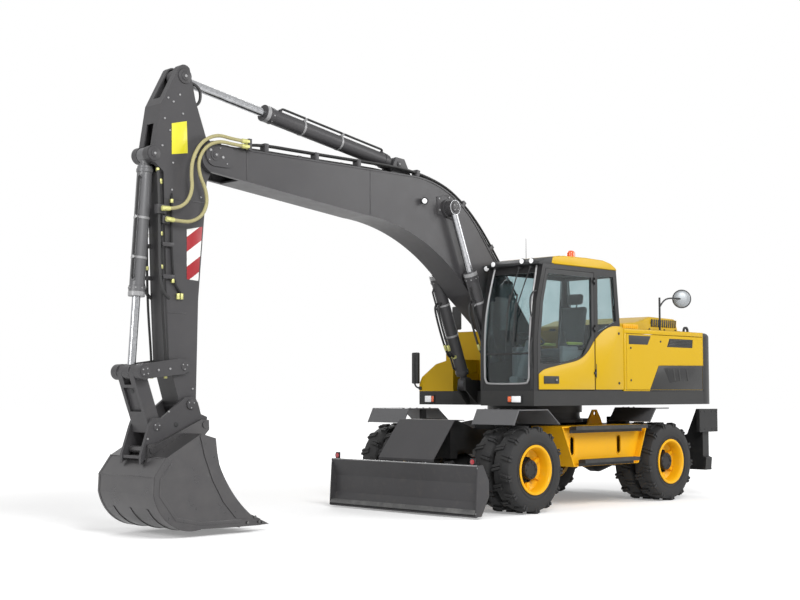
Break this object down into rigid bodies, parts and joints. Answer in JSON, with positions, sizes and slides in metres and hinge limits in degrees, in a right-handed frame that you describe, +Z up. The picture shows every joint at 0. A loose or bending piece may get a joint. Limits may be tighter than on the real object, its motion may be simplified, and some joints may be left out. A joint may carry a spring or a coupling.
{
  "type": "wheeled excavator",
  "caption": "Wheeled excavator with one-piece boom, arm, linkage and bucket, slewing house with cab, twin tyres, front blade and rear stabilisers.",
  "frame": {"origin": "the middle of the bounding box's length and width, on the ground under the wheels", "axes": "+X forward towards the bucket, +Y to the driver's left (cab side), +Z up"},
  "size_m": [9.1898, 2.605, 4.8501],
  "materials": {
    "chassis_orange": "satin orange-yellow paint",
    "panel_yellow": "gloss yellow paint",
    "front_grey": "satin dark grey paint",
    "cylinder_grey": "satin mid grey paint",
    "chrome_rod": "polished hard chrome",
    "frame_black": "satin near-black paint",
    "engine_grey": "painted cast iron",
    "tyre_rubber": "matt tread rubber",
    "cab_glazing": "lightly tinted safety glass",
    "seat_fabric": "woven cloth",
    "trim_plastic": "grained plastic",
    "lamp_plastic": "clear and amber lens plastic",
    "hose_sleeve": "khaki woven sleeve over rubber hose"
  },
  "bodies": {
    "chassis": {"chassis_frame": "chassis_orange", "front_axle": "chassis_orange", "rear_axle": "chassis_orange", "side_frames": "chassis_orange", "steps": "frame_black", "fenders": "front_grey", "linkage_cover": "front_grey", "drive_line": "chassis_orange"},
    "knuckle_left": {"knuckle_left": "chassis_orange"},
    "knuckle_right": {"knuckle_right": "chassis_orange"},
    "tie_rod": {"tie_rod": "chassis_orange"},
    "wheel_front_left": {"tyres_front_left": "tyre_rubber", "rim_front_left": "chassis_orange"},
    "wheel_front_right": {"tyres_front_right": "tyre_rubber", "rim_front_right": "chassis_orange"},
    "wheel_rear_left": {"tyres_rear_left": "tyre_rubber", "rim_rear_left": "chassis_orange"},
    "wheel_rear_right": {"tyres_rear_right": "tyre_rubber", "rim_rear_right": "chassis_orange"},
    "blade": {"blade": "front_grey"},
    "blade_cylinder_barrel": {"blade_cylinder_barrels": "front_grey"},
    "blade_cylinder_rod": {"blade_cylinder_rods": "chrome_rod"},
    "stabiliser_left": {"stabiliser_left": "front_grey"},
    "stabiliser_left_cylinder_barrel": {"stabiliser_barrel_left": "front_grey"},
    "stabiliser_left_cylinder_rod": {"stabiliser_rod_left": "chrome_rod"},
    "stabiliser_right": {"stabiliser_right": "front_grey"},
    "stabiliser_right_cylinder_barrel": {"stabiliser_barrel_right": "front_grey"},
    "stabiliser_right_cylinder_rod": {"stabiliser_rod_right": "chrome_rod"},
    "house": {"upper_frame": "frame_black", "counterweight": "frame_black", "body_panels": "panel_yellow", "engine": "engine_grey", "storage_box": "panel_yellow", "cab_shell": "frame_black", "cab_roof": "panel_yellow", "cab_glass": "cab_glazing", "seat": "seat_fabric", "consoles": "trim_plastic", "mirrors": "trim_plastic", "lamps": "lamp_plastic"},
    "cab_door": {"cab_door": "panel_yellow", "cab_door_glass": "cab_glazing"},
    "service_door_left": {"service_door_left": "panel_yellow"},
    "service_door_right": {"service_door_right": "panel_yellow"},
    "hood": {"hood": "panel_yellow"},
    "storage_lid": {"storage_lid": "panel_yellow"},
    "boom": {"boom": "front_grey", "tip_hose_1": "hose_sleeve", "tip_hose_2": "hose_sleeve"},
    "boom_cylinder_barrel": {"boom_cylinder_barrels": "front_grey"},
    "boom_cylinder_rod": {"boom_cylinder_rods": "chrome_rod"},
    "arm": {"arm": "front_grey"},
    "arm_cylinder_barrel": {"arm_cylinder_barrel": "front_grey"},
    "arm_cylinder_rod": {"arm_cylinder_rod": "chrome_rod"},
    "bucket": {"coupler": "front_grey", "bucket": "front_grey"},
    "rocker": {"rocker": "front_grey"},
    "link": {"link": "front_grey"},
    "bucket_cylinder_barrel": {"bucket_cylinder_barrel": "cylinder_grey"},
    "bucket_cylinder_rod": {"bucket_cylinder_rod": "chrome_rod"}
  },
  "joints": [
    {"name": "steering", "type": "hinge", "parent": "chassis", "child": "knuckle_left", "pos_m": [-0.325, 0.6, 0.52], "axis": [0, 0, 1], "range_deg": [-30, 30]},
    {"name": "steering_right", "type": "hinge", "parent": "chassis", "child": "knuckle_right", "pos_m": [-0.325, -0.6, 0.52], "axis": [0, 0, 1], "range_deg": [-31, 31]},
    {"name": "tie_rod_ball", "type": "hinge", "parent": "knuckle_left", "child": "tie_rod", "pos_m": [-0.54, 0.6, 0.52], "axis": [0, 0, 1], "range_deg": [-31, 31]},
    {"name": "wheel_front_left_turn", "type": "hinge", "parent": "knuckle_left", "child": "wheel_front_left", "pos_m": [-0.325, 1.13, 0.52], "axis": [0, 1, 0], "continuous": true},
    {"name": "wheel_front_right_turn", "type": "hinge", "parent": "knuckle_right", "child": "wheel_front_right", "pos_m": [-0.325, -1.13, 0.52], "axis": [0, 1, 0], "continuous": true},
    {"name": "wheel_rear_left_turn", "type": "hinge", "parent": "chassis", "child": "wheel_rear_left", "pos_m": [-3.165, 1.13, 0.52], "axis": [0, 1, 0], "continuous": true},
    {"name": "wheel_rear_right_turn", "type": "hinge", "parent": "chassis", "child": "wheel_rear_right", "pos_m": [-3.165, -1.13, 0.52], "axis": [0, 1, 0], "continuous": true},
    {"name": "blade_lift", "type": "hinge", "parent": "chassis", "child": "blade", "pos_m": [0.115, 0, 0.56], "axis": [0, -1, 0], "range_deg": [-12, 22]},
    {"name": "blade_cylinder_barrel_turn", "type": "hinge", "parent": "chassis", "child": "blade_cylinder_barrel", "pos_m": [0.245, 0, 0.985], "axis": [0, -1, 0], "range_deg": [-5.41, 9.5]},
    {"name": "blade_cylinder_rod_slide", "type": "slide", "parent": "blade_cylinder_barrel", "child": "blade_cylinder_rod", "axis": [0.3685, 0, -0.9296], "range_m": [-0.11446, 0.06334]},
    {"name": "stabiliser_left_lower", "type": "hinge", "parent": "chassis", "child": "stabiliser_left", "pos_m": [-4.105, 0.45, 0.56], "axis": [-1, 0, 0], "range_deg": [0, 60]},
    {"name": "stabiliser_left_cylinder_barrel_turn", "type": "hinge", "parent": "chassis", "child": "stabiliser_left_cylinder_barrel", "pos_m": [-4.105, 0.25, 0.93], "axis": [-1, 0, 0], "range_deg": [-0.5, 34.04]},
    {"name": "stabiliser_left_cylinder_rod_slide", "type": "slide", "parent": "stabiliser_left_cylinder_barrel", "child": "stabiliser_left_cylinder_rod", "axis": [0, 0.9794, -0.2021], "range_m": [-0.002, 0.26538]},
    {"name": "stabiliser_right_lower", "type": "hinge", "parent": "chassis", "child": "stabiliser_right", "pos_m": [-4.105, -0.45, 0.56], "axis": [1, 0, 0], "range_deg": [0, 60]},
    {"name": "stabiliser_right_cylinder_barrel_turn", "type": "hinge", "parent": "chassis", "child": "stabiliser_right_cylinder_barrel", "pos_m": [-4.105, -0.25, 0.93], "axis": [1, 0, 0], "range_deg": [-0.5, 34.04]},
    {"name": "stabiliser_right_cylinder_rod_slide", "type": "slide", "parent": "stabiliser_right_cylinder_barrel", "child": "stabiliser_right_cylinder_rod", "axis": [0, -0.9794, -0.2021], "range_m": [-0.002, 0.26538]},
    {"name": "slew", "type": "hinge", "parent": "chassis", "child": "house", "pos_m": [-1.835, 0, 1.18], "axis": [0, 0, 1], "continuous": true},
    {"name": "cab_door_hinge", "type": "hinge", "parent": "house", "child": "cab_door", "pos_m": [-1.525, 1.255, 2.25], "axis": [0, 0, 1], "range_deg": [0, 105]},
    {"name": "service_door_left_hinge", "type": "hinge", "parent": "house", "child": "service_door_left", "pos_m": [-3.947, 1.235, 1.86], "axis": [0, 0, 1], "range_deg": [0, 90]},
    {"name": "service_door_right_hinge", "type": "hinge", "parent": "house", "child": "service_door_right", "pos_m": [-3.947, -1.235, 1.86], "axis": [0, 0, -1], "range_deg": [0, 90]},
    {"name": "hood_hinge", "type": "hinge", "parent": "house", "child": "hood", "pos_m": [-3.953, 0, 2.29], "axis": [0, -1, 0], "range_deg": [0, 60]},
    {"name": "storage_lid_hinge", "type": "hinge", "parent": "house", "child": "storage_lid", "pos_m": [-1.16, -0.641, 1.864], "axis": [-1, 0, 0], "range_deg": [0, 70]},
    {"name": "boom_lift", "type": "hinge", "parent": "house", "child": "boom", "pos_m": [-1.635, 0, 1.9], "axis": [0, -1, 0], "range_deg": [-45, 25]},
    {"name": "boom_cylinder_barrel_turn", "type": "hinge", "parent": "house", "child": "boom_cylinder_barrel", "pos_m": [-0.785, 0, 1.55], "axis": [0, -1, 0], "range_deg": [-49.28, 27.6]},
    {"name": "boom_cylinder_rod_slide", "type": "slide", "parent": "boom_cylinder_barrel", "child": "boom_cylinder_rod", "axis": [0.3721, 0, 0.9282], "range_m": [-0.67791, 0.37751]},
    {"name": "arm_crowd", "type": "hinge", "parent": "boom", "child": "arm", "pos_m": [3.645, 0, 3.94], "axis": [0, 1, 0], "range_deg": [-75, 35]},
    {"name": "arm_cylinder_barrel_turn", "type": "hinge", "parent": "boom", "child": "arm_cylinder_barrel", "pos_m": [0.815, 0, 4.2], "axis": [0, 1, 0], "range_deg": [-5.24, 2.71]},
    {"name": "arm_cylinder_rod_slide", "type": "slide", "parent": "arm_cylinder_barrel", "child": "arm_cylinder_rod", "axis": [0.9865, 0, 0.1639], "range_m": [-1.04966, 0.49091]},
    {"name": "bucket_curl", "type": "hinge", "parent": "arm", "child": "bucket", "pos_m": [3.915, 0, 1.32], "axis": [0, 1, 0], "range_deg": [-60, 85]},
    {"name": "rocker_turn", "type": "hinge", "parent": "arm", "child": "rocker", "pos_m": [3.995, 0, 1.71], "axis": [0, 1, 0], "range_deg": [-49.77, 70.3]},
    {"name": "link_turn", "type": "hinge", "parent": "rocker", "child": "link", "pos_m": [4.515, 0, 1.65], "axis": [0, 1, 0], "range_deg": [-42.96, 30.47]},
    {"name": "bucket_cylinder_barrel_turn", "type": "hinge", "parent": "arm", "child": "bucket_cylinder_barrel", "pos_m": [4.375, 0, 3.87], "axis": [0, 1, 0], "range_deg": [-4.96, 6.82]},
    {"name": "bucket_cylinder_rod_slide", "type": "slide", "parent": "bucket_cylinder_barrel", "child": "bucket_cylinder_rod", "axis": [0.0629, 0, -0.998], "range_m": [-0.38398, 0.54314]}
  ],
  "couplings": [
    {"joint": "steering_right", "follows": "steering", "ratio": 1},
    {"joint": "tie_rod_ball", "follows": "steering", "ratio": -1},
    {"joint": "blade_cylinder_barrel_turn", "follows": "blade_lift", "ratio": 0.409},
    {"joint": "blade_cylinder_rod_slide", "follows": "blade_lift", "m_per_rad": -0.2929},
    {"joint": "stabiliser_left_cylinder_barrel_turn", "follows": "stabiliser_left_lower", "ratio": 0.55895},
    {"joint": "stabiliser_left_cylinder_rod_slide", "follows": "stabiliser_left_lower", "m_per_rad": 0.25151},
    {"joint": "stabiliser_right_cylinder_barrel_turn", "follows": "stabiliser_right_lower", "ratio": 0.55895},
    {"joint": "stabiliser_right_cylinder_rod_slide", "follows": "stabiliser_right_lower", "m_per_rad": 0.25151},
    {"joint": "boom_cylinder_barrel_turn", "follows": "boom_lift", "ratio": 1.0841},
    {"joint": "boom_cylinder_rod_slide", "follows": "boom_lift", "m_per_rad": 0.8606},
    {"joint": "arm_cylinder_barrel_turn", "follows": "arm_crowd", "ratio": 0.063202},
    {"joint": "arm_cylinder_rod_slide", "follows": "arm_crowd", "m_per_rad": 0.80035},
    {"joint": "rocker_turn", "follows": "bucket_curl", "ratio": 0.8212},
    {"joint": "link_turn", "follows": "bucket_curl", "ratio": -0.49948},
    {"joint": "bucket_cylinder_barrel_turn", "follows": "bucket_curl", "ratio": 0.074345},
    {"joint": "bucket_cylinder_rod_slide", "follows": "bucket_curl", "m_per_rad": 0.36477}
  ]
}
